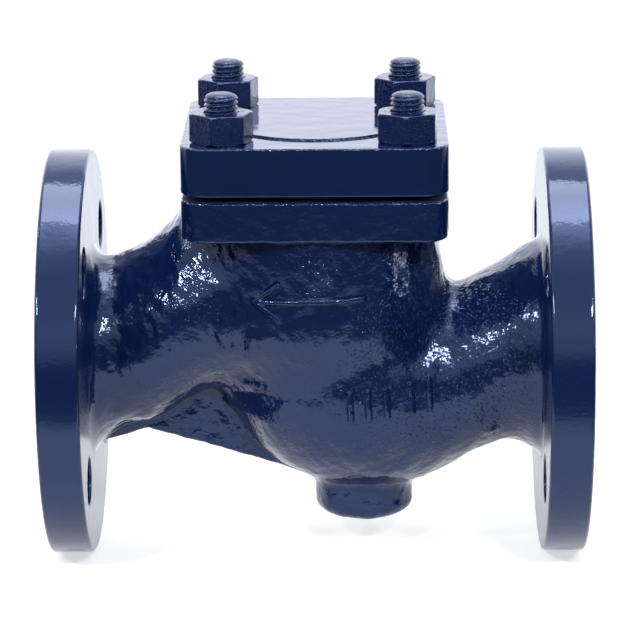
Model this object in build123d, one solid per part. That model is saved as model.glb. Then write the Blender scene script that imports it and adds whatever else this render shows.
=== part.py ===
"""Horizontal lift check valve, DN40, flanged, with a bolted square cover.

Frame: millimetres, +Z up, +X towards the inlet flange.  The origin lies on the surface that the
two pipe flanges stand on, below the crossing of the pipe axis and the cover axis.
Flow enters at +X, passes up through the seat, lifts the disc and leaves at -X.
Every z below is a height above the pipe axis, and the helpers add the height of that axis.
"""
from build123d import *
import os
from math import cos, radians, sin, sqrt

# ---------------------------------------------------------------- driving dimensions
FACE_TO_FACE = 200.0        # over the raised faces
FLANGE_OD = 150.0
FLANGE_RIM = 15.5           # rim thickness without the raised face
RAISED_FACE_D = 88.0
RAISED_FACE_H = 2.0
BOLT_CIRCLE = 110.0
BOLT_HOLE_D = 18.0
BOLT_COUNT = 4
PORT_D = 40.0

COVER_SIDE = 95.2           # the square cover and the square flange below it
CORNER_R = 10.0
BODY_FLANGE_Z = (51.5, 66.0)
COVER_Z = (68.1, 85.5)
PAD_D = 67.0                # round raised pad on the cover
PAD_H = 0.7
STUD_PITCH = 66.0           # stud to stud, along X and along Y
STUD_D = 12.0
STUD_Z = (53.0, 103.0)
NUT_AF = 20.4               # a 19 mm nut under its paint
NUT_H = 10.6
CORNERS = {"front_left": (-1, -1), "front_right": (1, -1), "rear_left": (-1, 1), "rear_right": (1, 1)}
NUT_TURNS = {"front_left": 44.0, "front_right": 56.0, "rear_left": 46.0, "rear_right": 41.0}

NUT_FACE = 0.96             # flat end of a nut, as a share of its width across flats
NUT_CONE = 0.11             # height of a nut's turned corners, as a share of its corner radius
STUD_HOLE_D = 13.5          # clearance holes in the cover
STUD_END_R = 2.2            # domed top of a stud
STUD_FOOT = 1.0             # chamfer at its foot

OPENING_D = 65.4            # bore of the body flange
SPIGOT_D = 65.0             # the cover's spigot, which centres it in that bore
SPIGOT_END = 61.0
GASKET_D = (66.4, 80.0)

CHAMBER_R = 39.8            # inside of the chamber over the seat
CHAMBER_Z = (4.0, 52.5)
CHAMBER_FLOOR_R = 6.0       # rounding at the chamber's floor
CHAMBER_NECK = 5.0          # chamfer where the chamber narrows below the studs
# Outside of the chamber: radius, height.
CHAMBER_OUTER = [(31.0, -6.0), (38.5, -1.5), (43.6, 6.0), (46.8, 13.0), (47.4, 21.0), (46.6, 31.0),
                 (44.8, 42.0), (43.6, 52.5)]
WEB_BOTTOM = -6.0           # underside of the web that carries the seat ring
BOWL = (10.0, -6.5, 42.5)   # x, height and outer radius of the bowl under the seat
WALL = 7.0
BOSS_X = 17.0
BOSS_D = 36.0
BOSS_Z = (-61.8, -38.0)
BOSS_EDGE = 3.5
RIB_T = 8.0
# Outline of the rib: x, height.
RIB_OUTLINE = [(-76.0, -32.5), (-63.2, -29.5), (-3.9, -47.2), (4.0, -40.0), (0.0, -8.0), (-45.0, 0.0),
               (-76.0, 0.0)]
HUB_R = 41.0                # foot of the hub between a passage and its pipe flange
HUB_RINGS = 4               # cross-sections of a hub
HUB_FLARE = 1.5             # how late a hub widens; 1 would be a cone

# Round cross-sections of the two passages: x, centre height, radius.
OUTLET_OUTER = [(-74.0, 4.5, 31.4), (-60.0, 9.0, 33.4), (-49.0, 16.3, 33.8), (-34.0, 22.0, 31.5),
                (-14.0, 26.0, 27.0)]
OUTLET_INNER = [(-84.0, 0.0, 20.0), (-74.0, 4.5, 23.5), (-60.0, 9.0, 26.5), (-49.0, 16.3, 27.0),
                (-34.0, 23.5, 24.0), (-24.0, 26.0, 21.5), (-14.0, 27.0, 21.0)]
INLET_OUTER = [(74.0, 1.2, 33.6), (61.0, -3.7, 33.0), (50.0, -9.2, 33.2), (38.0, -14.0, 33.6),
               (22.0, -15.0, 34.5), (8.0, -12.0, 36.0)]
INLET_INNER = [(84.0, 0.0, 20.0), (74.0, 1.2, 23.5), (61.0, -3.7, 26.0), (50.0, -9.2, 26.4),
               (38.0, -14.0, 27.0), (22.0, -15.0, 28.0), (8.0, -12.0, 29.0)]

SEAT_Z = (-5.0, 6.0)
SEAT_SHANK_D = 46.0         # screwed into the web
SEAT_HEAD_D = 52.0
SEAT_HEAD_H = 4.0
SEAT_LAND = 0.5             # how far the flat land runs past the soft ring
SEAT_CHAMFER = 1.5          # outside of the head
SEAT_LIP = 0.6              # inside of the head
LIFT = 12.0                 # travel of the disc

DISC_D = 48.0
DISC_H = 8.0
SEAL_D = (34.0, 45.0)       # soft ring that closes on the seat
SEAL_H = 3.0
RETAINER_D = 38.4
DISC_HUB_D = 24.0           # the retainer screws onto this hub
DISC_CHAMFER = 1.5
DISC_RIM_GAP = 0.4          # the metal rim stays this far above the seat's land
RETAINER_CHAMFER = 1.0

STEM_D = 14.0
STEM_TOP = 63.0
COLLAR_D = 40.0             # carries the closing spring
COLLAR_H = 3.0
SPRING_GUIDE_D = 30.0
SPRING_GUIDE_H = 5.0
SHANK_D = 10.0
SHANK_BELOW_NUT = 2.0       # thread that shows under the stem nut
STEM_CHAMFER = 1.0
WASHER_D = 19.0
WASHER_H = 1.2
STEM_NUT_AF = 17.0
STEM_NUT_H = 6.0

BUSH_D = 20.0
BUSH_Z = (42.0, 68.0)
BUSH_CHAMFER = 0.5
GUIDE_BOSS_D = 28.0         # boss under the cover, around the bush
GUIDE_CHAMFER = 1.5
POCKET_GAP = 1.0            # radial, stem in the pocket over the bush

SPRING_MEAN_D = 34.0
SPRING_WIRE = 2.4
SPRING_COILS = 6.5
SPRING_END_GAP = 0.05       # keeps the tilted end turns off the faces they press on

GUIDE_CLEARANCE = 0.04      # radial, stem in bush
SWIVEL_CLEARANCE = 0.05     # radial and axial, disc on the stem's shank
THREAD_GAP = 0.02           # radial gap that stands for meshed threads
STOP_GAP = 0.2              # stem top to the end of its pocket at full lift
EDGE = 1.2                  # rounding of the pipe flanges' edges under the paint
COVER_EDGE = 0.8            # rounding of the cover joint's edges
PAD_EDGE = 0.4
MERGE = 1.0                 # how far joined solids run into each other
CUT_PAST = 3.0              # how far a cutter runs past a face that it opens

# ---------------------------------------------------------------- derived dimensions
PIPE_Z = FLANGE_OD / 2      # height of the pipe axis
FLANGE_FACE = FACE_TO_FACE / 2 - RAISED_FACE_H
FLANGE_BACK = FLANGE_FACE - FLANGE_RIM
COVER_TOP = COVER_Z[1]
SEAT_TOP = SEAT_Z[1]
SEAL_TOP = SEAT_TOP + SEAL_H
DISC_TOP = SEAT_TOP + DISC_H
UNIT_BOTTOM = SEAT_TOP - SEAL_H                     # lowest face of disc and retainer
WASHER_Z = (UNIT_BOTTOM - SWIVEL_CLEARANCE - WASHER_H, UNIT_BOTTOM - SWIVEL_CLEARANCE)
STEM_NUT_Z = (WASHER_Z[0] - STEM_NUT_H, WASHER_Z[0])
COLLAR_Z = (DISC_TOP + SWIVEL_CLEARANCE, DISC_TOP + SWIVEL_CLEARANCE + COLLAR_H)
SPRING_Z = (COLLAR_Z[1], SPIGOT_END)


# ---------------------------------------------------------------- helpers
def at_height(z, x=0.0, y=0.0):
    """A plane square to Z."""
    return Plane(origin=(x, y, PIPE_Z + z))


def at_station(x, z=0.0, y=0.0):
    """A plane square to X."""
    return Plane(origin=(x, y, PIPE_Z + z), x_dir=(0, 1, 0), z_dir=(1, 0, 0))


def rod_z(diameter, span, x=0.0, y=0.0):
    """A round bar along Z over a span of heights."""
    bar = Cylinder(diameter / 2, span[1] - span[0], align=(Align.CENTER, Align.CENTER, Align.MIN))
    return at_height(span[0], x, y) * bar


def rod_x(diameter, span, y=0.0, z=0.0):
    """A round bar along X; the span's ends may come in either order."""
    low, high = sorted(span)
    bar = Cylinder(diameter / 2, high - low, align=(Align.CENTER, Align.CENTER, Align.MIN))
    return at_station(low, z, y) * bar


def beyond(span, below=CUT_PAST, above=CUT_PAST):
    """A span made longer, for a cutter that has to pass a face."""
    return (span[0] - below, span[1] + above)


def turned(points):
    """A solid turned about the cover axis from (radius, height) corners."""
    outline = Polyline(*[(r, 0, PIPE_Z + z) for r, z in points], close=True)
    return revolve(make_face(outline), Axis.Z)


def passage(sections):
    """A smooth round passage through (x, centre height, radius) sections."""
    return loft([at_station(x, z) * Circle(r) for x, z, r in sections])


def lowest_edges(shape):
    return shape.edges().group_by(Axis.Z)[0]


def highest_edges(shape):
    return shape.edges().group_by(Axis.Z)[-1]


def square_plate(span):
    """The square outline of the cover joint, with round corners and softened edges."""
    outline = RectangleRounded(COVER_SIDE, COVER_SIDE, CORNER_R)
    plate = at_height(span[0]) * extrude(outline, span[1] - span[0])
    return fillet(lowest_edges(plate) + highest_edges(plate), COVER_EDGE)


def stud_place(name):
    sx, sy = CORNERS[name]
    return sx * STUD_PITCH / 2, sy * STUD_PITCH / 2


def hexagon(across_flats, turn=0.0):
    """A hexagon with two sides along X, turned by the given angle."""
    return RegularPolygon(across_flats / 2, 6, major_radius=False, rotation=30 + turn)


def hex_nut(across_flats, height, bore_d, turn=0.0):
    """A hexagon nut standing on the XY plane, its corners turned off at both ends."""
    corner_r = across_flats / sqrt(3)
    flat_r = across_flats / 2 * NUT_FACE
    cone_h = corner_r * NUT_CONE
    profile = Polyline((0, 0, 0), (flat_r, 0, 0), (corner_r, 0, cone_h), (corner_r, 0, height - cone_h),
                       (flat_r, 0, height), (0, 0, height), close=True)
    prism = extrude(hexagon(across_flats, turn), height)
    nut = prism & revolve(make_face(profile), Axis.Z)
    return nut - Pos(0, 0, height / 2) * Cylinder(bore_d / 2, height + CUT_PAST)


# ---------------------------------------------------------------- body casting
def hub(side):
    """The flared hub that runs from a passage out to its flange."""
    sections = OUTLET_OUTER if side < 0 else INLET_OUTER
    duct_x, duct_z, duct_r = sections[0]
    length = FLANGE_BACK + MERGE - abs(duct_x)
    rings = []
    for n in range(HUB_RINGS + 1):
        t = n / HUB_RINGS
        radius = duct_r + (HUB_R - duct_r) * t ** HUB_FLARE
        rings.append(at_station(duct_x + side * length * t, duct_z * (1 - t)) * Circle(radius))
    return loft(rings)


def upper_lobe():
    """Outside of the chamber over the seat and of the outlet passage."""
    chamber = turned([(0, CHAMBER_OUTER[0][1]), *CHAMBER_OUTER, (0, CHAMBER_OUTER[-1][1])])
    return chamber + passage(OUTLET_OUTER)


def lower_lobe():
    """Outside of the bowl under the seat and of the inlet passage."""
    x, z, r = BOWL
    return at_height(z, x) * Sphere(r) + passage(INLET_OUTER)


def upper_cavity():
    """The room over the seat, its opening under the cover, and the outlet passage."""
    floor, roof = CHAMBER_Z
    room = turned([(0, floor), (CHAMBER_R, floor), (CHAMBER_R, roof - CHAMBER_NECK),
                   (CHAMBER_R - CHAMBER_NECK, roof), (0, roof)])
    room = fillet(lowest_edges(room), CHAMBER_FLOOR_R)
    room += rod_z(OPENING_D, (roof - MERGE, BODY_FLANGE_Z[1] + CUT_PAST))
    port = rod_x(PORT_D, (-FACE_TO_FACE / 2 - CUT_PAST, OUTLET_INNER[0][0]))
    return room + (passage(OUTLET_INNER) + port)


def lower_cavity(upper):
    """The bowl and the inlet passage, up to the wall of the upper lobe."""
    x, z, r = BOWL
    bowl = at_height(z, x) * Sphere(r - WALL) + passage(INLET_INNER)
    port = rod_x(PORT_D, (INLET_INNER[0][0], FACE_TO_FACE / 2 + CUT_PAST))
    return (bowl - upper) + port


def pipe_flange(side):
    """One pipe flange; side is +1 at the inlet and -1 at the outlet."""
    rim = rod_x(FLANGE_OD, (side * FLANGE_BACK, side * FLANGE_FACE))
    rim = fillet(rim.edges().filter_by(GeomType.CIRCLE), EDGE)
    return rim + rod_x(RAISED_FACE_D, (side * (FLANGE_FACE - MERGE), side * FACE_TO_FACE / 2))


def flange_holes(side):
    holes = []
    for n in range(BOLT_COUNT):
        angle = radians(360 / BOLT_COUNT * (n + 0.5))
        y, z = BOLT_CIRCLE / 2 * cos(angle), BOLT_CIRCLE / 2 * sin(angle)
        span = (side * (FLANGE_BACK - CUT_PAST), side * (FLANGE_FACE + CUT_PAST))
        holes.append(rod_x(BOLT_HOLE_D, span, y, z))
    return holes


def rib():
    """The flat web between the outlet passage and the bowl."""
    outline = Polyline(*[(x, 0, PIPE_Z + z) for x, z in RIB_OUTLINE], close=True)
    return extrude(make_face(outline), RIB_T / 2, both=True)


def boss():
    return fillet(lowest_edges(rod_z(BOSS_D, BOSS_Z, BOSS_X)), BOSS_EDGE)


def body():
    upper = upper_lobe()
    casting = upper + lower_lobe() + boss() + rib() + square_plate(BODY_FLANGE_Z)
    for side in (1, -1):
        casting += hub(side)
        casting += pipe_flange(side)
    casting -= upper_cavity()
    casting -= lower_cavity(upper)
    casting -= rod_z(SEAT_SHANK_D + 2 * THREAD_GAP, beyond((WEB_BOTTOM, CHAMBER_Z[0])))
    casting -= rod_z(SEAT_HEAD_D + 2 * THREAD_GAP, (SEAT_TOP - SEAT_HEAD_H, CHAMBER_Z[0] + CUT_PAST))
    for side in (1, -1):
        for hole in flange_holes(side):
            casting -= hole
    for name in CORNERS:
        casting -= rod_z(STUD_D + 2 * THREAD_GAP, beyond((STUD_Z[0], BODY_FLANGE_Z[1]), 0), *stud_place(name))
    return casting


# ---------------------------------------------------------------- cover and its fastenings
def cover():
    pad = rod_z(PAD_D, (COVER_TOP - MERGE, COVER_TOP + PAD_H))
    pad = fillet(highest_edges(pad), PAD_EDGE)
    guide = rod_z(GUIDE_BOSS_D, (BUSH_Z[0], COVER_Z[0] + MERGE))
    guide = chamfer(lowest_edges(guide), GUIDE_CHAMFER)
    lid = square_plate(COVER_Z) + pad + rod_z(SPIGOT_D, (SPIGOT_END, COVER_Z[0] + MERGE)) + guide
    lid -= rod_z(BUSH_D, beyond(BUSH_Z, above=0))
    lid -= rod_z(STEM_D + 2 * POCKET_GAP, (BUSH_Z[1] - MERGE, STEM_TOP + LIFT + STOP_GAP))
    for name in CORNERS:
        lid -= rod_z(STUD_HOLE_D, beyond(COVER_Z), *stud_place(name))
    return lid


def guide_bush():
    bush = rod_z(BUSH_D, BUSH_Z) - rod_z(STEM_D + 2 * GUIDE_CLEARANCE, beyond(BUSH_Z))
    return chamfer(lowest_edges(bush), BUSH_CHAMFER)


def cover_gasket():
    span = (BODY_FLANGE_Z[1], COVER_Z[0])
    return rod_z(GASKET_D[1], span) - rod_z(GASKET_D[0], beyond(span))


def stud(name):
    shank = rod_z(STUD_D, STUD_Z, *stud_place(name))
    shank = fillet(highest_edges(shank), STUD_END_R)
    return chamfer(lowest_edges(shank), STUD_FOOT)


def cover_nut(name):
    nut = hex_nut(NUT_AF, NUT_H, STUD_D + 2 * THREAD_GAP, NUT_TURNS[name])
    return at_height(COVER_TOP, *stud_place(name)) * nut


# ---------------------------------------------------------------- seat, disc, stem and spring
def seat_ring():
    shoulder = SEAT_TOP - SEAT_HEAD_H
    land_r = SEAL_D[1] / 2 + SEAT_LAND
    return turned([(PORT_D / 2, SEAT_Z[0]), (SEAT_SHANK_D / 2, SEAT_Z[0]), (SEAT_SHANK_D / 2, shoulder),
                   (SEAT_HEAD_D / 2, shoulder), (SEAT_HEAD_D / 2, SEAT_TOP - SEAT_CHAMFER),
                   (land_r, SEAT_TOP), (PORT_D / 2 + SEAT_LIP, SEAT_TOP), (PORT_D / 2, SEAT_TOP - SEAT_LIP)])


def valve_disc():
    """The disc: a recess for the soft ring, and a hub that the retainer screws onto."""
    rim_bottom = SEAT_TOP + DISC_RIM_GAP
    bore_r = SHANK_D / 2 + SWIVEL_CLEARANCE
    return turned([(bore_r, UNIT_BOTTOM), (DISC_HUB_D / 2, UNIT_BOTTOM), (DISC_HUB_D / 2, SEAL_TOP),
                   (SEAL_D[1] / 2, SEAL_TOP), (SEAL_D[1] / 2, rim_bottom), (DISC_D / 2, rim_bottom),
                   (DISC_D / 2, DISC_TOP - DISC_CHAMFER), (DISC_D / 2 - DISC_CHAMFER, DISC_TOP),
                   (bore_r, DISC_TOP)])


def disc_seal():
    span = (SEAT_TOP, SEAL_TOP)
    return rod_z(SEAL_D[1], span) - rod_z(SEAL_D[0], beyond(span))


def seal_retainer():
    """A screwed ring whose lip clamps the inner edge of the soft ring."""
    bore_r = DISC_HUB_D / 2 + THREAD_GAP
    lip_r = RETAINER_D / 2
    sleeve_r = SEAL_D[0] / 2
    return turned([(bore_r, UNIT_BOTTOM), (lip_r - RETAINER_CHAMFER, UNIT_BOTTOM),
                   (lip_r, UNIT_BOTTOM + RETAINER_CHAMFER), (lip_r, SEAT_TOP), (sleeve_r, SEAT_TOP),
                   (sleeve_r, SEAL_TOP), (bore_r, SEAL_TOP)])


def guide_stem():
    """Guide rod, spring guide, collar and the threaded shank that the disc turns on."""
    shank_end = STEM_NUT_Z[0] - SHANK_BELOW_NUT
    guide_top = COLLAR_Z[1] + SPRING_GUIDE_H
    cut = STEM_CHAMFER
    return turned([(0, shank_end), (SHANK_D / 2 - cut, shank_end), (SHANK_D / 2, shank_end + cut),
                   (SHANK_D / 2, COLLAR_Z[0]), (COLLAR_D / 2, COLLAR_Z[0]), (COLLAR_D / 2, COLLAR_Z[1]),
                   (SPRING_GUIDE_D / 2, COLLAR_Z[1]), (SPRING_GUIDE_D / 2, guide_top - cut),
                   (SPRING_GUIDE_D / 2 - cut, guide_top), (STEM_D / 2, guide_top),
                   (STEM_D / 2, STEM_TOP - cut), (STEM_D / 2 - cut, STEM_TOP), (0, STEM_TOP)])


def lock_washer():
    return rod_z(WASHER_D, WASHER_Z) - rod_z(SHANK_D + 2 * THREAD_GAP, beyond(WASHER_Z))


def stem_nut():
    return at_height(STEM_NUT_Z[0]) * hex_nut(STEM_NUT_AF, STEM_NUT_H, SHANK_D + 2 * THREAD_GAP)


def closing_spring():
    """A compression spring with plain ends, between the stem's collar and the cover's spigot."""
    inset = SPRING_WIRE / 2 + SPRING_END_GAP
    rise = SPRING_Z[1] - SPRING_Z[0] - 2 * inset
    start = (0, 0, PIPE_Z + SPRING_Z[0] + inset)
    line = Helix(rise / SPRING_COILS, rise, SPRING_MEAN_D / 2, center=start)
    section = Plane(origin=line @ 0, z_dir=line % 0) * Circle(SPRING_WIRE / 2)
    return sweep(section, path=line, is_frenet=True)


SINGLE_PIECES = (body, seat_ring, cover, cover_gasket, guide_bush, valve_disc, disc_seal, seal_retainer,
                 guide_stem, lock_washer, stem_nut, closing_spring)


def all_pieces():
    pieces = {make.__name__: make() for make in SINGLE_PIECES}
    for name in CORNERS:
        pieces[f"stud_{name}"] = stud(name)
        pieces[f"cover_nut_{name}"] = cover_nut(name)
    return pieces


os.makedirs("parts", exist_ok=True)
for node, shape in all_pieces().items():
    export_step(shape, f"parts/{node}.step")
    print(node, len(shape.solids()), "solid", round(shape.volume), "mm3")
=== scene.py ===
"""Looks of a flanged DN40 lift check valve: lumpy cast iron under thick glossy navy enamel.

The painted pieces are meshed from distance fields, so that every edge and junction has the soft
rounding of brushed enamel.  Fields work in millimetres, with heights measured from the pipe axis.
"""
import math

import bpy
import numpy as np
from mathutils import Euler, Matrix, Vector

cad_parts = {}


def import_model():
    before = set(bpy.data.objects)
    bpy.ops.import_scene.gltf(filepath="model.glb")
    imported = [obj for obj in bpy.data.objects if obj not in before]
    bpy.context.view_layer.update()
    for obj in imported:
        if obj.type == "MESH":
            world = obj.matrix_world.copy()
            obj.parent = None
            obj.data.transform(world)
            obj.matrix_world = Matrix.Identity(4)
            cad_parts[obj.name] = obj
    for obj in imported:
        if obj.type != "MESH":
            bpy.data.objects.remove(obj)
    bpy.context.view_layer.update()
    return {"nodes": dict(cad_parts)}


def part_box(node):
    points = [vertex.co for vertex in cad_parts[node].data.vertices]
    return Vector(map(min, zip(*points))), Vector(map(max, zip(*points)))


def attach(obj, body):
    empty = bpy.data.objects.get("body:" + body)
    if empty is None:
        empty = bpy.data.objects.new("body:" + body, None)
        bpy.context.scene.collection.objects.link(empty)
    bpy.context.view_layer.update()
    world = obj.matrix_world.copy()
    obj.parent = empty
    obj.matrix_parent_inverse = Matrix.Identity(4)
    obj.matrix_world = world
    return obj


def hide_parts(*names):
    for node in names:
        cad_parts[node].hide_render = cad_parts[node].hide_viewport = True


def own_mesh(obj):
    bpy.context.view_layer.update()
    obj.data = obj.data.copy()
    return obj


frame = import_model()
MM = 0.001

# ---------------------------------------------------------------- sizes read from the frame


def box_mm(node):
    """A node's box as two arrays, in millimetres."""
    low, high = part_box(node)
    return np.array(low) / MM, np.array(high) / MM


BODY_LOW, BODY_HIGH = box_mm("body")
GASKET_LOW, GASKET_HIGH = box_mm("cover_gasket")
PIPE_Z = (BODY_HIGH[1] - BODY_LOW[1]) / 2           # the flanges' radius is the pipe axis' height
FLANGE_R = PIPE_Z
RAISED_X = BODY_HIGH[0]                             # the raised faces
RAISED_H = 2.0
RIM_W = 15.5
FLANGE_X = RAISED_X - RAISED_H                      # the rims' outer faces
FLANGE_BACK = FLANGE_X - RIM_W
RAISED_R = 44.0
BOLT_CIRCLE_R = 55.0
BOLT_HOLE_R = 9.0
SQUARE_CORNER_R = 10.0                              # corners of the cover and of the flange under it
COVER_HALF = box_mm("cover")[1][0]
JOINT_Z = GASKET_LOW[2] - PIPE_Z                    # top of the body's square flange
COVER_Z = GASKET_HIGH[2] - PIPE_Z
COVER_TOP = box_mm("cover_nut_front_left")[0][2] - PIPE_Z      # where the nuts stand
CORNERS = ("front_left", "front_right", "rear_left", "rear_right")


def stud_centre(name):
    low, high = box_mm("stud_" + name)
    return (low[:2] + high[:2]) / 2


STUD_X, STUD_Y = stud_centre("rear_right")
STUD_HOLE_R = 6.02                                  # the studs' 6 mm with a hair of room
STUD_HOLE_END = 53.0


# ---------------------------------------------------------------- distance fields
def blend_union(a, b, k):
    """The lower of two fields, run together over a width k."""
    h = np.maximum(k - np.abs(a - b), 0.0) / k
    return np.minimum(a, b) - h * h * k * 0.25


def fillet_union(a, b, r):
    """The lower of two fields, with a round fillet where they meet."""
    return np.maximum(r, np.minimum(a, b)) - np.hypot(np.maximum(r - a, 0.0), np.maximum(r - b, 0.0))


def round_cut(a, b, r):
    """Field a with field b cut away, the new edge rounded off."""
    return np.minimum(-r, np.maximum(a, -b)) + np.hypot(np.maximum(r + a, 0.0), np.maximum(r - b, 0.0))


def slab(v, low, high):
    return np.abs(v - (low + high) / 2) - (high - low) / 2


def rounded_meet(a, b, r):
    """The overlap of two fields, its edge rounded off."""
    return np.minimum(-r, np.maximum(a, b)) + np.hypot(np.maximum(r + a, 0.0), np.maximum(r + b, 0.0))


def stud_distance(x, y):
    """Distance from the nearest stud's centre line."""
    return np.hypot(np.abs(x) - STUD_X, np.abs(y) - STUD_Y)


def bar(radial, along, radius, low, high, r=1.2):
    """A round bar: distance from its axis, place along it, and the rounding of its ends."""
    return rounded_meet(radial - radius, slab(along, low, high), r)


def square_outline(x, y, half, corner):
    dx, dy = np.abs(x) - half + corner, np.abs(y) - half + corner
    return np.hypot(np.maximum(dx, 0), np.maximum(dy, 0)) + np.minimum(np.maximum(dx, dy), 0) - corner


def curve(x, knots):
    """A smooth line through (place, value) knots, level beyond its ends."""
    px, py = np.array(knots, dtype=float).T
    slopes = np.gradient(py, px)
    slopes[0] = slopes[-1] = 0.0
    x = np.clip(x, px[0], px[-1])
    n = np.clip(np.searchsorted(px, x) - 1, 0, len(px) - 2)
    step = px[n + 1] - px[n]
    t = (x - px[n]) / step
    a, b = (1 + 2 * t) * (1 - t) ** 2, t * (1 - t) ** 2
    c, d = t * t * (3 - 2 * t), t * t * (t - 1)
    return a * py[n] + b * step * slopes[n] + c * py[n + 1] + d * step * slopes[n + 1]


def duct(x, y, z, centres, radii):
    """A round passage along X whose centre height and radius follow two curves."""
    tilt = (curve(x + 1, centres) - curve(x - 1, centres)) / 2
    return (np.hypot(y, z - curve(x, centres)) - curve(x, radii)) / np.sqrt(1 + tilt * tilt)


# Centre heights and radii of the two passages along X, outside and inside, and the chamber's outside.
OUTLET_CENTRE = [(-84, 0.6), (-79, 1.6), (-74, 3.6), (-67, 6.2), (-60, 9.2), (-49, 16.4), (-34, 22),
                 (-14, 26), (10, 27)]
OUTLET_RADIUS = [(-84, 38.0), (-79, 34.2), (-74, 32.1), (-67, 32.4), (-60, 33.8), (-49, 34.2),
                 (-34, 31.5), (-14, 27), (10, 25)]
OUTLET_BORE_CENTRE = [(-84, 0), (-74, 4.5), (-60, 9), (-49, 16.3), (-34, 23.5), (-24, 26), (-14, 27)]
OUTLET_BORE_RADIUS = [(-84, 20), (-74, 23.5), (-60, 26.5), (-49, 27), (-34, 24), (-24, 21.5), (-14, 21)]
INLET_CENTRE = [(-26, -10), (-8, -12), (8, -13), (24, -14.6), (38, -14.0), (51, -8.9), (61, -3.9),
                (68, -0.6), (75, 1.6), (84, 1.2)]
INLET_RADIUS = [(-26, 6), (-8, 22), (8, 31), (24, 34), (38, 33.3), (51, 33.0), (61, 33.0), (68, 33.5),
                (75, 36.0), (84, 40.0)]
INLET_BORE_CENTRE = [(8, -12), (22, -15), (38, -14), (50, -9.2), (61, -3.7), (74, 1.2), (84, 0)]
INLET_BORE_RADIUS = [(8, 29), (22, 28), (38, 27), (50, 26.4), (61, 26), (74, 23.5), (84, 20)]
CHAMBER_PROFILE = [(-11, 20), (-7, 30), (-2, 36.5), (3, 41.5), (8, 45.2), (13, 47.2), (20, 47.8), (30, 46.8),
                   (42, 44.8), (56, 43.6)]
BOWL = (10.0, -6.5, 42.6)                           # centre's X and height, and radius
BOWL_WALL = 7.0
BOSS_X, BOSS_R, BOSS_END = 17.0, 18.0, -61.8
RIB_HALF = 4.0
RIB_TIP = (-63.2, -29.6)                            # the highest point of the rib's lower edge
ROOM_R = 39.8                                       # the chamber's inside
ROOM_Z = (4.0, 52.5)
ROOM_NECK_Z = 47.5
ROOM_FLOOR_R = 6.0
OPENING_R = 32.7
SEAT_HOLE_R = 23.02
SEAT_STEP_R = 26.02
SQUARE_FLANGE_LOW = 51.5


def chamber(x, y, z):
    """The barrel under the cover, wider at its shoulder and closed below in a round bottom."""
    radial = np.hypot(x, y) - curve(z, CHAMBER_PROFILE)
    wall = radial * np.interp(z, [-10.0, 14.0], [0.62, 0.98])
    return np.maximum(wall, slab(z, -11.0, JOINT_Z - 4))


def upper_lobe(x, y, z):
    outlet = np.maximum(duct(x, y, z, OUTLET_CENTRE, OUTLET_RADIUS), slab(x, -FLANGE_BACK - 4, 0))
    return blend_union(chamber(x, y, z), outlet, 16.0)


def lower_lobe(x, y, z):
    bx, bz, br = BOWL
    bowl = np.sqrt((x - bx) ** 2 + y ** 2 + (z - bz) ** 2) - br
    inlet = np.maximum(duct(x, y, z, INLET_CENTRE, INLET_RADIUS), slab(x, -26, FLANGE_BACK + 4))
    return blend_union(bowl, inlet, 14.0)


def rib(x, y, z):
    """The web between the outlet passage and the bowl; its lower edge is a shallow V upside down."""
    tip_x, tip_z = RIB_TIP
    lower_edge = np.where(x < tip_x, tip_z + (x - tip_x) * 0.30, tip_z - (x - tip_x) * 0.2985)
    plate = np.maximum(slab(x, -FLANGE_BACK - 1, 5), slab(z, -60, 10))
    return rounded_meet(np.maximum(slab(y, -RIB_HALF, RIB_HALF), plate), (lower_edge - z) * 0.96, 2.0)


def flange(x, radial):
    """Both pipe flanges at once, by symmetry."""
    rim = bar(radial, np.abs(x), FLANGE_R, FLANGE_BACK, FLANGE_X, 1.3)
    raised = bar(radial, np.abs(x), RAISED_R, FLANGE_X - 3, RAISED_X, 0.4)
    return np.minimum(rim, raised)


def casting(x, y, z):
    """Outside of the body, without its bores."""
    radial = np.hypot(y, z)
    crease = np.interp(x, [-36.0, 15.0], [12.0, 6.0])
    lobes = blend_union(upper_lobe(x, y, z), lower_lobe(x, y, z), crease)
    boss = bar(np.hypot(x - BOSS_X, y), z, BOSS_R, BOSS_END, -30.0, 4.5)
    lobes = fillet_union(lobes, boss, 3.0)
    lobes = fillet_union(lobes, rib(x, y, z), 2.5)
    outline = square_outline(x, y, COVER_HALF, SQUARE_CORNER_R)
    square = rounded_meet(outline, slab(z, SQUARE_FLANGE_LOW, JOINT_Z), 0.9)
    lobes = fillet_union(lobes, square, 1.0)
    return fillet_union(lobes, flange(x, radial), 2.5)


def upper_cavity(x, y, z):
    """The chamber's room with its neck, the opening under the cover, and the outlet's bore."""
    axis = np.hypot(x, y)
    room = axis - np.minimum(ROOM_R, ROOM_R - (z - ROOM_NECK_Z))
    room = rounded_meet(room, slab(z, *ROOM_Z), ROOM_FLOOR_R)
    opening = np.maximum(axis - OPENING_R, slab(z, 45, JOINT_Z + 5))
    bore = duct(x, y, z, OUTLET_BORE_CENTRE, OUTLET_BORE_RADIUS)
    bore = np.maximum(bore, slab(x, -RAISED_X - 5, -14))
    return np.minimum(blend_union(room, bore, 5.0), opening)


def lower_cavity(x, y, z):
    """The bowl's room and the inlet's bore, under the web that carries the seat."""
    bx, bz, br = BOWL
    bowl = np.sqrt((x - bx) ** 2 + y ** 2 + (z - bz) ** 2) - br + BOWL_WALL
    bore = duct(x, y, z, INLET_BORE_CENTRE, INLET_BORE_RADIUS)
    hollow = blend_union(bowl, np.maximum(bore, slab(x, 8, RAISED_X + 5)), 8.0)
    web = np.maximum(np.hypot(x, y) - 60.0, -6.0 - z)
    return round_cut(hollow, np.minimum(web, upper_lobe(x, y, z)), 1.5)


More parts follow.
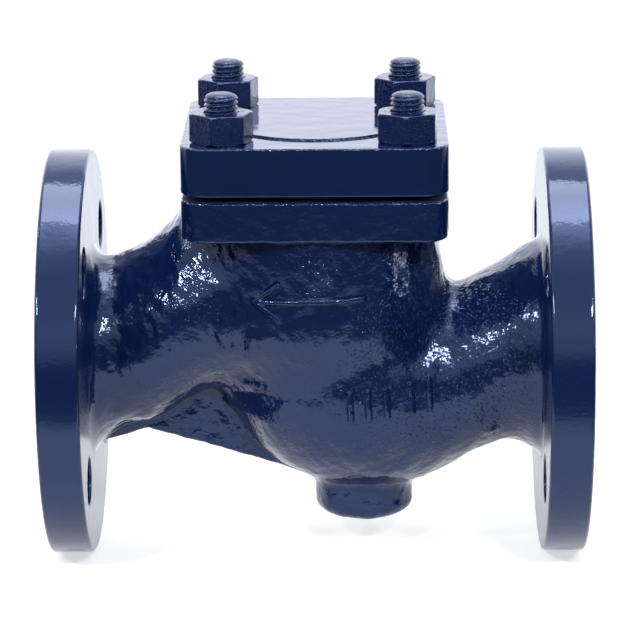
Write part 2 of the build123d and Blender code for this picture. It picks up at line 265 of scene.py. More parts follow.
def body_field(x, y, z):
    """The whole body casting."""
    radial = np.hypot(y, z)
    axis = np.hypot(x, y)
    solid = casting(x, y, z)
    solid = round_cut(solid, upper_cavity(x, y, z), 0.6)
    solid = round_cut(solid, lower_cavity(x, y, z), 0.6)
    seat = np.maximum(axis - SEAT_HOLE_R, slab(z, -12, 6))
    seat = np.minimum(seat, np.maximum(axis - SEAT_STEP_R, slab(z, 2, 8)))
    solid = np.maximum(solid, -seat)
    hole_place = BOLT_CIRCLE_R / math.sqrt(2)
    hole = np.hypot(np.abs(y) - hole_place, np.abs(z) - hole_place)
    hole = np.maximum(hole - BOLT_HOLE_R, FLANGE_BACK - 3 - np.abs(x))
    solid = round_cut(solid, hole, 0.8)
    tapped = np.maximum(stud_distance(x, y) - STUD_HOLE_R, STUD_HOLE_END - z)
    return np.maximum(solid, -tapped)


# ---------------------------------------------------------------- paint lumps
def lumps(x, y, z, size, seed):
    """Smooth random relief between about -1 and 1, with waves near the given size."""
    rng = np.random.default_rng(seed)
    total = np.zeros(np.shape(x))
    waves = 22
    for _ in range(waves):
        way = rng.normal(size=3)
        way *= 2 * math.pi / (size * rng.uniform(0.7, 1.5)) / np.linalg.norm(way)
        total = total + np.sin(way[0] * x + way[1] * y + way[2] * z + rng.uniform(0, 2 * math.pi))
    return total / math.sqrt(waves / 2) / 1.6


def ease(v, low, high):
    t = np.clip((v - low) / (high - low), 0.0, 1.0)
    return t * t * (3 - 2 * t)


def casting_relief(x, y, z):
    """How far the rough casting and its enamel stand out; machined faces stay true."""
    between = ease(FLANGE_BACK - np.abs(x), -0.5, 6.0)
    below_joint = ease(JOINT_Z - z, 3.0, 14.0)
    rough = 0.22 * lumps(x, y, z, 14.0, 3) + 0.09 * lumps(x, y, z, 5.0, 4)
    # always below zero, so that the rims stay inside the CAD box
    rim = 0.04 * (lumps(x, y, z, 16.0, 5) - 1.3) * ease(FLANGE_X - np.abs(x), 0.5, 3.0)
    return rough * between * below_joint + rim


# ---------------------------------------------------------------- meshing
def evaluate(field, xs, ys, zs):
    """The field on a grid, slice by slice."""
    out = np.empty((len(xs), len(ys), len(zs)), dtype=np.float32)
    y, z = np.meshgrid(ys, zs, indexing="ij")
    for n in range(0, len(xs), 8):
        part = xs[n:n + 8]
        x = np.broadcast_to(part[:, None, None], (len(part),) + y.shape)
        out[n:n + 8] = field(x, np.broadcast_to(y, x.shape), np.broadcast_to(z, x.shape))
    return out


def surface_net(values, axes):
    """Points and quads of a field's zero surface, with one point in each cell that it crosses."""
    inside = values < 0
    count = np.zeros(tuple(n - 1 for n in values.shape), dtype=np.int8)
    offsets = [(i, j, k) for i in (0, 1) for j in (0, 1) for k in (0, 1)]
    for i, j, k in offsets:
        count += inside[i:i + count.shape[0], j:j + count.shape[1], k:k + count.shape[2]]
    crossed = (count > 0) & (count < 8)
    cell = np.argwhere(crossed)
    index = np.full(count.shape, -1, dtype=np.int64)
    index[crossed] = np.arange(len(cell))
    corner = {o: values[cell[:, 0] + o[0], cell[:, 1] + o[1], cell[:, 2] + o[2]] for o in offsets}
    place, hits = np.zeros((len(cell), 3)), np.zeros(len(cell))
    for a in offsets:
        for axis in range(3):
            if a[axis]:
                continue
            b = tuple(1 if n == axis else a[n] for n in range(3))
            va, vb = corner[a], corner[b]
            cut = (va < 0) != (vb < 0)
            t = np.where(cut, va / np.where(cut, va - vb, 1.0), 0.0)
            step = np.array(a, dtype=float) + np.outer(t, np.eye(3)[axis])
            place += step * cut[:, None]
            hits += cut
    place /= hits[:, None]
    points = np.empty_like(place)
    for axis, line in enumerate(axes):
        low = line[cell[:, axis]]
        points[:, axis] = low + place[:, axis] * (line[cell[:, axis] + 1] - low)
    quads = []
    for axis in range(3):
        u, v = (axis + 1) % 3, (axis + 2) % 3
        here = [slice(1, -1)] * 3
        here[axis] = slice(0, -1)
        after = list(here)
        after[axis] = slice(1, None)
        low, high = inside[tuple(here)], inside[tuple(after)]
        at = np.argwhere(low != high)
        at[:, u] += 1
        at[:, v] += 1
        out = inside[at[:, 0], at[:, 1], at[:, 2]]
        ring = []
        for du, dv in ((1, 1), (0, 1), (0, 0), (1, 0)):
            c = at.copy()
            c[:, u] -= du
            c[:, v] -= dv
            ring.append(index[c[:, 0], c[:, 1], c[:, 2]])
        ring = np.stack(ring, 1)
        ring[~out] = ring[~out][:, ::-1]
        quads.append(ring)
    return points, np.concatenate(quads)


def slope(field, p, step=0.04):
    parts = []
    for axis in range(3):
        d = np.zeros(3)
        d[axis] = step
        parts.append((field(*(p + d).T) - field(*(p - d).T)) / (2 * step))
    return np.stack(parts, 1)


def settle(field, points, reach, rounds=5):
    """Move points onto the field's zero surface; also gives the surface's normals there."""
    for _ in range(rounds):
        g = slope(field, points)
        size = np.maximum((g * g).sum(1), 0.05)
        move = -(field(*points.T) / size)[:, None] * g
        length = np.maximum(np.linalg.norm(move, axis=1), 1e-9)
        points = points + move * np.minimum(1.0, reach / length)[:, None]
    g = slope(field, points)
    return points, g / np.maximum(np.linalg.norm(g, axis=1), 1e-9)[:, None]


def grid_line(low, high, step, fine=()):
    """Evenly spaced places, with closer ones inside each (from, to, step) stretch."""
    line = np.arange(low, high + step, step)
    for a, b, close in fine:
        line = np.concatenate([line[(line < a) | (line > b)], np.arange(a, b + close / 2, close)])
    line = np.sort(line)
    return line[np.concatenate([[True], np.diff(line) > 0.12])]


def to_mesh(name, points, faces, normals):
    """A Blender object from points in millimetres above the pipe axis, quads and the points' normals."""
    mesh = bpy.data.meshes.new(name)
    mesh.vertices.add(len(points))
    mesh.vertices.foreach_set("co", ((points + [0, 0, PIPE_Z]) * MM).astype(np.float32).ravel())
    mesh.loops.add(faces.size)
    mesh.loops.foreach_set("vertex_index", faces.astype(np.int32).ravel())
    mesh.polygons.add(len(faces))
    mesh.polygons.foreach_set("loop_start", np.arange(0, faces.size, faces.shape[1], dtype=np.int32))
    mesh.update(calc_edges=True)
    mesh.validate()
    mesh.polygons.foreach_set("use_smooth", np.ones(len(mesh.polygons), dtype=bool))
    if len(mesh.vertices) == len(normals):          # validate() took nothing away
        mesh.normals_split_custom_set_from_vertices(normals.astype(np.float32))
    obj = bpy.data.objects.new(name, mesh)
    bpy.context.collection.objects.link(obj)
    return obj


def from_faces(name, points, faces, smooth):
    """A Blender object from points in millimetres above the pipe axis and faces of any kind."""
    mesh = bpy.data.meshes.new(name)
    mesh.from_pydata(((points + [0, 0, PIPE_Z]) * MM).tolist(), [], faces)
    mesh.polygons.foreach_set("use_smooth", smooth)
    obj = bpy.data.objects.new(name, mesh)
    bpy.context.collection.objects.link(obj)
    return obj


def mesh_field(name, field, axes, reach, relief=None):
    """A piece from the zero surface of a field, with the paint's relief added where one is given."""
    points, quads = surface_net(evaluate(field, *axes), axes)
    target = field
    if relief:
        def target(x, y, z):
            return field(x, y, z) - relief(x, y, z)
    points, normals = settle(target, points, reach)
    return to_mesh(name, points, quads, normals)


def painted_piece(name, field, axes, reach, replaces=None, relief=None):
    piece = mesh_field(name, field, axes, reach, relief)
    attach(piece, "housing")
    if replaces:
        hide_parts(replaces)
    return piece


def body_piece():
    step = 1.7
    coarse = 2.4
    edge = 0.45
    rim_bands = [(FLANGE_BACK, 1.4, edge), (FLANGE_X + 0.6, 2.0, edge), (FLANGE_BACK + 7.0, 5.0, coarse)]
    bands = [(side * middle - half, side * middle + half, close)
             for middle, half, close in rim_bands for side in (-1, 1)]
    xs = grid_line(-RAISED_X - 1.1, RAISED_X + 1.1, step, bands)
    outer = [(-FLANGE_R - 2, -49.5, coarse), (49.5, FLANGE_R + 2, coarse)]
    ys = grid_line(-FLANGE_R - 2, FLANGE_R + 2, step, outer)
    zs = grid_line(-FLANGE_R - 2, FLANGE_R + 2, step,
                   [(JOINT_Z - 2, JOINT_Z + 1, edge), (SQUARE_FLANGE_LOW - 1, SQUARE_FLANGE_LOW + 2, edge),
                    (-FLANGE_R - 2, -64, coarse), (JOINT_Z + 2, FLANGE_R + 2, coarse)])
    return painted_piece("valve_body", body_field, (xs, ys, zs), step * 0.7, "body",
                         casting_relief)


PAD_R = 33.5
PAD_H = 0.7
SPIGOT_R = 32.5
SPIGOT_END = 61.0
GUIDE_R = 14.0
GUIDE_END = 42.0
BUSH_R, BUSH_TOP = 10.0, 68.0
POCKET_R, POCKET_TOP = 8.0, 75.2
COVER_HOLE_R = 6.75


def cover_field(x, y, z):
    """The square cover: round pad, spigot, guide boss and the holes through them."""
    axis = np.hypot(x, y)
    outline = square_outline(x, y, COVER_HALF, SQUARE_CORNER_R)
    plate = rounded_meet(outline, slab(z, COVER_Z, COVER_TOP), 0.65)
    pad = bar(axis, z, PAD_R, COVER_TOP - 3, COVER_TOP + PAD_H, 0.18)
    spigot = bar(axis, z, SPIGOT_R, SPIGOT_END, COVER_Z + 3, 0.4)
    guide = bar(axis, z, GUIDE_R, GUIDE_END, COVER_Z + 3, 1.2)
    solid = np.minimum(np.minimum(plate, pad), np.minimum(spigot, guide))
    solid = np.maximum(solid, -np.maximum(axis - BUSH_R, z - BUSH_TOP))
    solid = np.maximum(solid, -np.maximum(axis - POCKET_R, z - POCKET_TOP))
    return round_cut(solid, stud_distance(x, y) - COVER_HOLE_R, 0.4)


def cover_relief(x, y, z):
    """Brushed enamel that runs a little thicker along the edges; the machined underside stays true."""
    painted_part = ease(z - COVER_Z, 0.3, 3.0)
    edge = ease(np.maximum(np.abs(x), np.abs(y)), COVER_HALF - 4.0, COVER_HALF - 0.5)
    flat = 0.025 * lumps(x, y, z, 9.0, 6)
    side = 0.03 * lumps(x, y, z, 7.0, 7) * edge
    return (flat + side) * painted_part


def cover_piece():
    step = 0.72
    edge = 0.35
    line = grid_line(-COVER_HALF - 1, COVER_HALF + 1, step,
                     [(-COVER_HALF - 1, -COVER_HALF + 2.0, edge), (COVER_HALF - 2.0, COVER_HALF + 1, edge)])
    zs = grid_line(GUIDE_END - 1, COVER_TOP + 2, step,
                   [(COVER_Z - 0.8, COVER_Z + 2, edge), (COVER_TOP - 2, COVER_TOP + 1.5, edge)])
    return painted_piece("valve_cover", cover_field, (line, line, zs), step * 0.6, "cover",
                         cover_relief)


NUT_AF = 20.4
NUT_H = 10.6
NUT_TOP_R, NUT_FOOT_R = 10.7, 10.3                  # where the turned corners meet the faces
NUT_RUN_UP, NUT_RUN_OUT_R = 0.7, 12.3               # how far the enamel climbs the stud and spreads
COS_30 = 0.866
NUT_TURNS = {"front_left": 44.0, "front_right": 56.0, "rear_left": 46.0, "rear_right": 41.0}


def nut_field(name):
    """A hexagon nut with turned corners, and the enamel that has run in round the stud and the foot."""
    cx, cy = stud_centre(name)
    walls = [math.radians(NUT_TURNS[name] + 60 * n) for n in range(3)]

    def field(x, y, z):
        u, v, h = x - cx, y - cy, z - COVER_TOP
        sides = np.sort([np.abs(u * math.cos(a) + v * math.sin(a)) - NUT_AF / 2 for a in walls], axis=0)
        hexagon = np.minimum(-0.5, sides[2]) + np.hypot(np.maximum(0.5 + sides[2], 0),
                                                        np.maximum(0.5 + sides[1], 0))
        axis = np.hypot(u, v)
        cones = np.maximum((axis - NUT_TOP_R) * 0.5 + (h - NUT_H) * COS_30,
                           (axis - NUT_FOOT_R) * 0.5 - h * COS_30)
        nut = rounded_meet(rounded_meet(hexagon, slab(h, 0, NUT_H), 0.25), cones, 0.25)
        run_in = fillet_union(fillet_union(nut, axis - STUD_HOLE_R, 0.5), h + 0.05, 0.4)
        inside = np.maximum(h - NUT_H - NUT_RUN_UP, np.maximum(axis - NUT_RUN_OUT_R, -h))
        return np.maximum(np.maximum(run_in, inside), STUD_HOLE_R - axis)

    return field


def nut_relief(x, y, z):
    return 0.035 * lumps(x, y, z, 6.0, 8) + 0.01 * lumps(x, y, z, 2.4, 9)


def nut_piece(name):
    step = 0.42
    cx, cy = stud_centre(name)
    xs, ys = (grid_line(c - 13, c + 13, step) for c in (cx, cy))
    zs = grid_line(COVER_TOP - 1, COVER_TOP + NUT_H + 2, step)
    node = "cover_nut_" + name
    return painted_piece("hex_nut_" + name, nut_field(name), (xs, ys, zs), step * 0.6, node,
                         nut_relief)


STUD_R = 6.0
THREAD_PITCH = 1.75
THREAD_DEPTH = 0.75
THREAD_STEP = 0.14                                  # height of one row of the thread's mesh
STUD_FOOT = 1.0
DOME_H = 2.4
DOME_FLAT_R = 1.9


def stud_piece(name):
    """A stud whose exposed end shows its thread under the enamel; the end is domed."""
    low, high = box_mm("stud_" + name)
    cx, cy = (low[:2] + high[:2]) / 2
    bottom, top = low[2] - PIPE_Z, high[2] - PIPE_Z
    around = 84
    angles = np.arange(around) * 2 * math.pi / around
    threaded = COVER_TOP + NUT_H - 2.5
    heights = np.concatenate([[bottom, bottom + STUD_FOOT, threaded - 0.2],
                              np.arange(threaded, top, THREAD_STEP), [top]])
    rows = []
    for z in heights:
        phase = (top - z) / THREAD_PITCH + angles / (2 * math.pi)
        groove = (0.5 - 0.5 * np.cos(2 * math.pi * phase)) ** 1.4 * THREAD_DEPTH
        radius = np.full(around, STUD_R)
        if z >= threaded:
            radius = radius - groove
        if z <= bottom:
            radius = radius - STUD_FOOT
        drop = top - z
        if drop < DOME_H:
            dome = math.sqrt(max(1 - (1 - drop / DOME_H) ** 2.2, 0.0)) if drop > 0 else 0.0
            radius = np.minimum(radius, DOME_FLAT_R + (STUD_R - DOME_FLAT_R) * dome)
        radius = radius + 0.06 * lumps(STUD_R * np.cos(angles), STUD_R * np.sin(angles), z, 3.0, 11)
        radius = np.minimum(radius, STUD_R)
        rows.append(np.stack([cx + radius * np.cos(angles), cy + radius * np.sin(angles),
                              np.full(around, z)], 1))
    points = np.concatenate(rows + [[[cx, cy, bottom], [cx, cy, top]]])
    count = len(heights) * around
    faces = []
    for n in range(len(heights) - 1):
        for k in range(around):
            m = (k + 1) % around
            faces.append((n * around + k, n * around + m, (n + 1) * around + m, (n + 1) * around + k))
    last = (len(heights) - 1) * around
    for k in range(around):
        m = (k + 1) % around
        faces.append((count, m, k))
        faces.append((last + k, last + m, count + 1))
    piece = from_faces("threaded_stud_" + name, points, faces, np.ones(len(faces), dtype=bool))
    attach(piece, "housing")
    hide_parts("stud_" + name)
    return piece


SPRING_MEAN_R = 17.0
SPRING_WIRE_R = 1.2
SPRING_COILS = 6.5


def spring_piece():
    """The closing spring; it stands on the stem's collar and is carried with the stem."""
    low, high = box_mm("closing_spring")
    bottom, top = low[2] - PIPE_Z, high[2] - PIPE_Z
    around, steps = 12, int(SPRING_COILS * (60))
    t = np.linspace(0, 1, steps + 1)
    turn = 2 * math.pi * SPRING_COILS * t
    rise = (top - bottom - 2 * SPRING_WIRE_R) / (2 * math.pi * SPRING_COILS)
    centre = np.stack([SPRING_MEAN_R * np.cos(turn), SPRING_MEAN_R * np.sin(turn),
                       bottom + SPRING_WIRE_R + rise * turn], 1)
    outward = np.stack([np.cos(turn), np.sin(turn), np.zeros_like(turn)], 1)
    along = np.stack([-SPRING_MEAN_R * np.sin(turn), SPRING_MEAN_R * np.cos(turn),
                      np.full_like(turn, rise)], 1)
    up = np.cross(outward, along / np.linalg.norm(along, axis=1)[:, None])
    angle = np.arange(around) * 2 * math.pi / around
    rows = centre[:, None] + SPRING_WIRE_R * (np.cos(angle)[:, None] * outward[:, None]
                                              + np.sin(angle)[:, None] * up[:, None])
    faces = [(n * around + k, (n + 1) * around + k, (n + 1) * around + (k + 1) % around,
              n * around + (k + 1) % around) for n in range(steps) for k in range(around)]
    faces.append(tuple(range(around)))
    faces.append(tuple(steps * around + k for k in reversed(range(around))))
    smooth = np.array([len(f) == 4 for f in faces])         # the wire, but not its two flat ends
    piece = from_faces("closing_coil", rows.reshape(-1, 3), faces, smooth)
    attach(piece, "stem")
    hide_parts("closing_spring")
    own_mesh(piece)
    return piece


# ---------------------------------------------------------------- generic raised marks
def stroke(x, z, start, end):
    """Distance from a line between two places on the front view."""
    ax, az = start
    bx, bz = end[0] - ax, end[1] - az
    t = np.clip(((x - ax) * bx + (z - az) * bz) / (bx * bx + bz * bz), 0, 1)
    return np.hypot(x - ax - t * bx, z - az - t * bz)


ARROW = [((-22.0, 29.0), (17.0, 30.5)), ((-22.0, 29.0), (-13.5, 35.5)), ((-22.0, 29.0), (-13.0, 23.0))]
TALLY = [((12.0, -5.5), (12.4, -15.5)), ((18.5, -5.0), (19.0, -15.0)), ((25.0, -4.5), (25.5, -14.5)),
         ((34.0, -3.5), (34.6, -13.5)), ((40.5, -2.5), (41.0, -12.5))]
MARK_Y = (-53.0, -22.0)                             # the front of the casting lies between these
MARK_H = 1.15
MARK_HALF_W = 0.35                                  # half the width of a stroke's flat top
MARK_FOOT = 1.7                                     # where its side runs out into the surface
MARK_SINK = 0.15
MARK_REACH = 2.2
MARK_THICKNESS = 1.2


def mark_piece(name, strokes):
    """Raised strokes on the front of the casting, with a soft foot that runs out into its surface."""
    ends = np.array(strokes).reshape(-1, 2)
    step = 0.42

    def field(x, y, z):
        skin = body_field(x, y, z) - casting_relief(x, y, z)
        line = np.min([stroke(x, z, a, b) for a, b in strokes], axis=0)
        height = MARK_H * (1 - ease(line, MARK_HALF_W, MARK_FOOT)) - MARK_SINK
        return np.maximum(np.maximum(skin - height, line - MARK_REACH), -skin - MARK_THICKNESS)

    xs = grid_line(ends[:, 0].min() - 4, ends[:, 0].max() + 4, step)
    zs = grid_line(ends[:, 1].min() - 4, ends[:, 1].max() + 4, step)
    ys = grid_line(*MARK_Y, step)
    return painted_piece(name, field, (xs, ys, zs), step * 0.6)


body = body_piece()
cover = cover_piece()
nuts = [nut_piece(name) for name in CORNERS]
studs = [stud_piece(name) for name in CORNERS]
spring = spring_piece()
marks = [mark_piece("flow_arrow_mark", ARROW), mark_piece("tally_mark", TALLY)]


# ---------------------------------------------------------------- materials
class Nodes:
    """A short way to write node trees."""

    def __init__(self, name):
        self.material = bpy.data.materials.new(name)
        self.material.use_nodes = True
        self.tree = self.material.node_tree
        self.shader = self.tree.nodes["Principled BSDF"]

    def add(self, kind, **inputs):
        node = self.tree.nodes.new(kind)
        for key, value in inputs.items():
            socket = node.inputs[key.replace("_", " ")]
            if isinstance(value, bpy.types.NodeSocket):
                self.tree.links.new(value, socket)
            else:
                socket.default_value = value
        return node

    def noise(self, size_mm, detail=2.0, rough=0.5):
        place = self.add("ShaderNodeTexCoord").outputs["Object"]
        return self.add("ShaderNodeTexNoise", Vector=place, Scale=1 / (size_mm * MM), Detail=detail,
                        Roughness=rough).outputs["Fac"]

    def bump(self, height, depth_mm, under=None, strength=1.0):
        node = self.add("ShaderNodeBump", Height=height, Distance=depth_mm * MM, Strength=strength)
        if under is not None:
            self.tree.links.new(under, node.inputs["Normal"])
        return node.outputs["Normal"]

    def between(self, value, low, high, at_low, at_high):
        """A value eased from one level to another as it passes between two places."""
        node = self.tree.nodes.new("ShaderNodeMapRange")
        node.interpolation_type = "SMOOTHSTEP"
        self.tree.links.new(value, node.inputs["Value"])
        for key, number in zip(("From Min", "From Max", "To Min", "To Max"), (low, high, at_low, at_high)):
            node.inputs[key].default_value = number
        return node.outputs["Result"]

    def math(self, operation, *values):
        node = self.tree.nodes.new("ShaderNodeMath")
        node.operation = operation
        for socket, value in zip(node.inputs, values):
            if isinstance(value, bpy.types.NodeSocket):
                self.tree.links.new(value, socket)
            else:
                socket.default_value = value
        return node.outputs[0]

    def ramp(self, fac, stops):
        node = self.add("ShaderNodeValToRGB", Fac=fac)
        colours = node.color_ramp
        while len(colours.elements) < len(stops):
            colours.elements.new(0.5)
        for element, (place, colour) in zip(colours.elements, stops):
            element.position = place
            element.color = (*colour, 1.0)
        return node.outputs["Color"]

    def set(self, **inputs):
        for key, value in inputs.items():
            socket = self.shader.inputs[key.replace("_", " ")]
            if isinstance(value, bpy.types.NodeSocket):
                self.tree.links.new(value, socket)
            else:
                socket.default_value = value


ENAMEL_TINT = (0.50, 0.63, 1.0, 1.0)
EDGE_RUNS_MM = 1.0
NAVY = ((0.0019, 0.0076, 0.040), (0.0027, 0.0095, 0.048))


def enamel(name, peel_mm, wave_mm, grit_mm, rough=0.07, peel_size=1.1, fastener=False):
    """Thick glossy navy enamel; peel, wave and grit are the depths of its relief.

    Wave and peel run all over.  Grit is the sparse specks caught in the paint: all over a fastener,
    and on a casting thick on the inlet's front, in patches elsewhere.  A casting's relief fades on the
    pipe flanges' rims and the cover joint, which were turned before they were painted, and a line of
    runs and specks follows the joint's top edges.  The flanges' faces are duller, and the gap of the
    joint is dull inside.
    """
    n = Nodes(name)
    tone = n.ramp(n.noise(30.0, 3.0), [(0.3, NAVY[0]), (0.7, NAVY[1])])
    place = n.add("ShaderNodeTexCoord").outputs["Object"]
    split = n.add("ShaderNodeSeparateXYZ", Vector=place)
    specks = n.between(n.noise(1.05, 1.0), 0.58, 0.74, 0.0, 1.0)
    if fastener:
        wave = n.bump(n.noise(3.2, 2.0), wave_mm)
        peel = n.bump(n.noise(peel_size, 2.0), peel_mm, wave)
        grit = n.bump(n.between(n.noise(0.7, 1.0), 0.5, 0.66, 0.0, 1.0), grit_mm, peel)
        gloss = n.between(n.noise(2.0, 2.0), 0.4, 0.65, rough, rough + 0.12)
        n.set(Base_Color=tone, Roughness=gloss, IOR=1.6, Specular_Tint=ENAMEL_TINT, Normal=grit)
        return n.material
    height = split.outputs["Z"]
    across = n.math("ABSOLUTE", split.outputs["X"])
    facing = n.add("ShaderNodeSeparateXYZ", Vector=n.add("ShaderNodeNewGeometry").outputs["Normal"])
    face = n.between(n.math("ABSOLUTE", facing.outputs["X"]), 0.85, 0.98, 0.0, 1.0)
    flange_fade = n.between(across, (FLANGE_BACK - 5) * MM, FLANGE_BACK * MM, 1.0, 0.25)
    joint_fade = n.between(height, (PIPE_Z + 46) * MM, (PIPE_Z + 52) * MM, 1.0, 0.1)
    inlet_front = n.add("ShaderNodeVectorMath", Vector=place)
    inlet_front.operation = "DISTANCE"
    inlet_front.inputs[1].default_value = (44 * MM, -34 * MM, (PIPE_Z + 1) * MM)
    thick = n.between(inlet_front.outputs["Value"], 0.026, 0.046, 1.0, 0.0)
    patches = n.between(n.noise(26.0, 2.0), 0.46, 0.60, 0.0, 0.35)
    amount = n.math("MULTIPLY", n.math("MAXIMUM", thick, patches), flange_fade)
    amount = n.math("MULTIPLY", amount, joint_fade)
    amount = n.math("MAXIMUM", amount, n.math("MULTIPLY", face, 0.12))
    wave = n.bump(n.noise(3.2, 2.0), wave_mm, strength=flange_fade)
    peel = n.bump(n.noise(peel_size, 2.0), peel_mm, wave, flange_fade)
    grit = n.bump(n.math("MULTIPLY", specks, amount), grit_mm, peel)
    at_joint = n.math("MULTIPLY", n.between(across, (COVER_HALF + 1) * MM, (COVER_HALF + 3) * MM, 1.0, 0.0),
                      n.between(height, (PIPE_Z + JOINT_Z - 2) * MM, (PIPE_Z + JOINT_Z - 1) * MM, 0.0, 1.0))
    upward = facing.outputs["Z"]
    edge = n.math("MULTIPLY", n.between(upward, 0.08, 0.25, 0.0, 1.0),
                  n.between(upward, 0.88, 0.97, 1.0, 0.0))
    edge = n.math("MULTIPLY", edge, at_joint)
    runs = n.bump(n.math("MULTIPLY", n.noise(1.3, 1.0), edge), EDGE_RUNS_MM, grit)
    gap = n.math("ABSOLUTE", n.math("SUBTRACT", height, (PIPE_Z + (JOINT_Z + COVER_Z) / 2) * MM))
    gap = n.math("MAXIMUM", gap, n.math("SUBTRACT", across, COVER_HALF * MM))
    gloss = n.math("MAXIMUM", n.between(gap, 1.08 * MM, 1.3 * MM, 0.7, rough), n.math("MULTIPLY", face, 0.2))
    n.set(Base_Color=tone, Roughness=gloss, IOR=1.6, Specular_Tint=ENAMEL_TINT, Normal=runs)
    return n.material


def metal(name, dark, light, rough, grain_mm, metallic=1.0):
    """Machined metal with a fine tone variation and tool marks."""
    n = Nodes(name)
    n.set(Base_Color=n.ramp(n.noise(grain_mm * 8, 3.0), [(0.3, dark), (0.7, light)]), Roughness=rough,
          Metallic=metallic, Normal=n.bump(n.noise(grain_mm, 3.0), 0.01))
    return n.material


ROUGH_ENAMEL = enamel("enamel_on_casting", 0.10, 0.24, 0.26)
SMOOTH_ENAMEL = enamel("enamel_on_cover", 0.02, 0.03, 0.01)
NUT_ENAMEL = enamel("enamel_on_nuts", 0.015, 0.02, 0.05, 0.12, 0.45, True)
STUD_ENAMEL = enamel("enamel_on_threads", 0.07, 0.06, 0.10, 0.2, 0.45, True)
STEEL = metal("machined_stainless", (0.42, 0.42, 0.41), (0.55, 0.55, 0.53), 0.28, 0.5)
SPRING_STEEL = metal("spring_wire", (0.30, 0.29, 0.28), (0.42, 0.41, 0.39), 0.32, 0.4)
BRONZE = metal("bronze", (0.45, 0.28, 0.12), (0.58, 0.38, 0.18), 0.35, 0.5)
PTFE = metal("ptfe", (0.78, 0.78, 0.75), (0.86, 0.86, 0.84), 0.45, 0.8, 0.0)
GRAPHITE = metal("graphite", (0.02, 0.02, 0.022), (0.045, 0.045, 0.05), 0.5, 0.6, 0.0)

PIECE_FINISH = {ROUGH_ENAMEL: [body] + marks, SMOOTH_ENAMEL: [cover], NUT_ENAMEL: nuts, STUD_ENAMEL: studs,
                SPRING_STEEL: [spring]}
for material, pieces in PIECE_FINISH.items():
    for piece in pieces:
        piece.data.materials.append(material)
CAD_FINISH = {STEEL: ("seat_ring", "valve_disc", "seal_retainer", "guide_stem", "lock_washer", "stem_nut"),
              BRONZE: ("guide_bush",), PTFE: ("disc_seal",), GRAPHITE: ("cover_gasket",)}
for material, names in CAD_FINISH.items():
    for node in names:
        obj = frame["nodes"][node]
        obj.data.materials.clear()
        obj.data.materials.append(material)

# ---------------------------------------------------------------- stage, light and camera
FLOOR_R = 0.27
FLOOR_FADE = (0.18, 0.26)           # the table top dissolves into the white studio between these radii


def floor():
    """A small round white table top; the white world carries on beyond its soft edge."""
    turns = np.linspace(0, 2 * math.pi, 97)[:-1]
    ring = [(FLOOR_R * math.cos(a), FLOOR_R * math.sin(a), 0.0) for a in turns]
    mesh = bpy.data.meshes.new("floor")
    mesh.from_pydata(ring, [], [list(range(len(ring)))])
    obj = bpy.data.objects.new("floor", mesh)
    bpy.context.collection.objects.link(obj)
    n = Nodes("floor")
    reach = n.add("ShaderNodeVectorMath", Vector=n.add("ShaderNodeTexCoord").outputs["Object"])
    reach.operation = "LENGTH"
    cover_up = n.between(reach.outputs["Value"], *FLOOR_FADE, 1.0, 0.0)
    n.set(Base_Color=(0.7, 0.7, 0.7, 1), Roughness=0.6, Emission_Color=(1, 1, 1, 1),
          Emission_Strength=0.6, Alpha=cover_up)
    mesh.materials.append(n.material)


def area_light(name, place, aim, size, radiance):
    data = bpy.data.lights.new(name, "AREA")
    data.shape = "RECTANGLE"
    data.size, data.size_y = size
    data.energy = radiance * math.pi * size[0] * size[1]
    obj = bpy.data.objects.new(name, data)
    obj.location = place
    obj.rotation_euler = (Vector(aim) - Vector(place)).to_track_quat("-Z", "Y").to_euler()
    bpy.context.collection.objects.link(obj)


AIM = (0.0, 0.0, 0.08)


def around_valve(azimuth, elevation, distance):
    """A place seen from the valve: azimuth from the front towards +X, and elevation, in degrees."""
    a, e = math.radians(azimuth), math.radians(elevation)
    return (distance * math.sin(a) * math.cos(e), -distance * math.cos(a) * math.cos(e),
            AIM[2] + distance * math.sin(e))


FILL = 0.15                         # how much plain light reaches the shadows
# What the enamel mirrors, by height in degrees: a dark front and sides, and a bright back.
FRONT = [(-90, 0.95), (-71, 1.15), (-50, 1.45), (-38, 1.2), (-30, 0.85), (-23, 0.42), (-16, 0.17), (-2, 0.12),
         (5, 0.22), (12, 0.85), (25, 1.2), (39, 1.0), (57, 1.0), (70, 1.4), (78, 2.8), (85, 4.2), (90, 5.0)]
BACK = [(-90, 0.95), (-60, 0.8), (-30, 1.3), (-5, 1.8), (12, 1.9), (35, 1.8), (46, 1.1), (60, 1.3), (75, 2.0),
        (90, 5.0)]
BEHIND = (0.05, 0.6)                # the walls turn from front to back between these parts of a unit Y


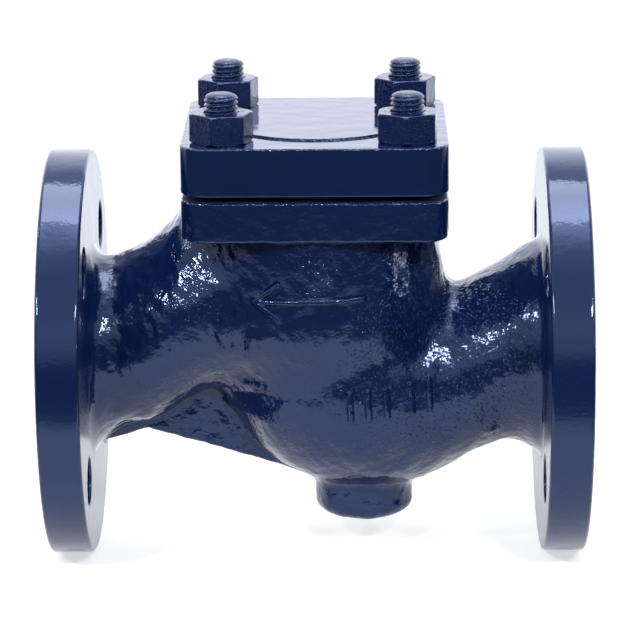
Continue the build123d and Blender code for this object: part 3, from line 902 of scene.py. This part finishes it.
def world():
    """A plain white studio: white to the camera, with softly graded walls around the object."""
    w = bpy.data.worlds.new("studio")
    bpy.context.scene.world = w
    w.use_nodes = True
    t = w.node_tree
    t.nodes.clear()

    def add(kind, operation=None, **inputs):
        node = t.nodes.new(kind)
        if operation:
            node.operation = operation
        for key, value in inputs.items():
            socket = node.inputs[int(key[1:])] if key[1:].isdigit() else node.inputs[key]
            if isinstance(value, bpy.types.NodeSocket):
                t.links.new(value, socket)
            else:
                socket.default_value = value
        return node

    def graded(height, stops):
        ramp = add("ShaderNodeValToRGB", Fac=height)
        while len(ramp.color_ramp.elements) < len(stops):
            ramp.color_ramp.elements.new(0.5)
        for element, (degrees, value) in zip(ramp.color_ramp.elements, stops):
            element.position = math.sin(math.radians(degrees)) / 2 + 0.5
            element.color = (value / 2 * 0.97, value / 2, value / 2 * 1.08, 1)
        return add("ShaderNodeBackground", Color=ramp.outputs["Color"], Strength=2.0).outputs[0]

    split = add("ShaderNodeSeparateXYZ", Vector=add("ShaderNodeTexCoord").outputs["Generated"])
    height = add("ShaderNodeMath", "MULTIPLY_ADD", i0=split.outputs["Z"], i1=0.5, i2=0.5).outputs[0]
    behind = t.nodes.new("ShaderNodeMapRange")
    behind.interpolation_type = "SMOOTHSTEP"
    t.links.new(split.outputs["Y"], behind.inputs["Value"])
    for key, value in zip(("From Min", "From Max"), BEHIND):
        behind.inputs[key].default_value = value
    around = add("ShaderNodeMixShader", i0=behind.outputs["Result"], i1=graded(height, FRONT),
                 i2=graded(height, BACK))
    white = add("ShaderNodeBackground", Color=(1, 1, 1, 1), Strength=1.05)
    path = add("ShaderNodeLightPath").outputs
    fill = add("ShaderNodeBackground", Color=(0.95, 0.97, 1, 1), Strength=FILL)
    lit = add("ShaderNodeMixShader", i0=path["Is Diffuse Ray"], i1=around.outputs[0], i2=fill.outputs[0])
    mix = add("ShaderNodeMixShader", i0=path["Is Camera Ray"], i1=lit.outputs[0], i2=white.outputs[0])
    out = add("ShaderNodeOutputWorld")
    t.links.new(mix.outputs[0], out.inputs["Surface"])


LENS_MM = 187.9
CAMERA_PLACE = (0.01564, -1.17629, 0.32338 + PIPE_Z * MM)
CAMERA_PITCH, CAMERA_YAW, CAMERA_ROLL = -14.786, 0.800, -0.478


def camera():
    data = bpy.data.cameras.new("camera")
    data.sensor_width = 36.0
    data.lens = LENS_MM
    data.clip_start = 0.05
    obj = bpy.data.objects.new("camera", data)
    obj.location = CAMERA_PLACE
    tilt = Euler((math.radians(90 + CAMERA_PITCH), 0.0, math.radians(CAMERA_YAW)), "XYZ").to_matrix()
    roll = Euler((0.0, 0.0, math.radians(CAMERA_ROLL)), "XYZ").to_matrix()
    obj.rotation_euler = (tilt @ roll).to_euler()
    bpy.context.collection.objects.link(obj)
    bpy.context.scene.camera = obj


floor()
area_light("overhead", (0.0, 0.26, 1.15), AIM, (0.62, 0.62), 5.3)
for number, azimuth in enumerate((-48, -26, 17, 33), 1):
    area_light(f"front_lamp_{number}", around_valve(azimuth, 34, 2.3), AIM, (0.15, 0.15), 195.0)
area_light("left_lamp", around_valve(-100, 45, 2.2), AIM, (0.07, 0.07), 80.0)
area_light("right_lamp", around_valve(84, 2, 2.0), AIM, (0.022, 0.12), 130.0)
world()
camera()
bpy.context.scene.view_settings.view_transform = "Standard"
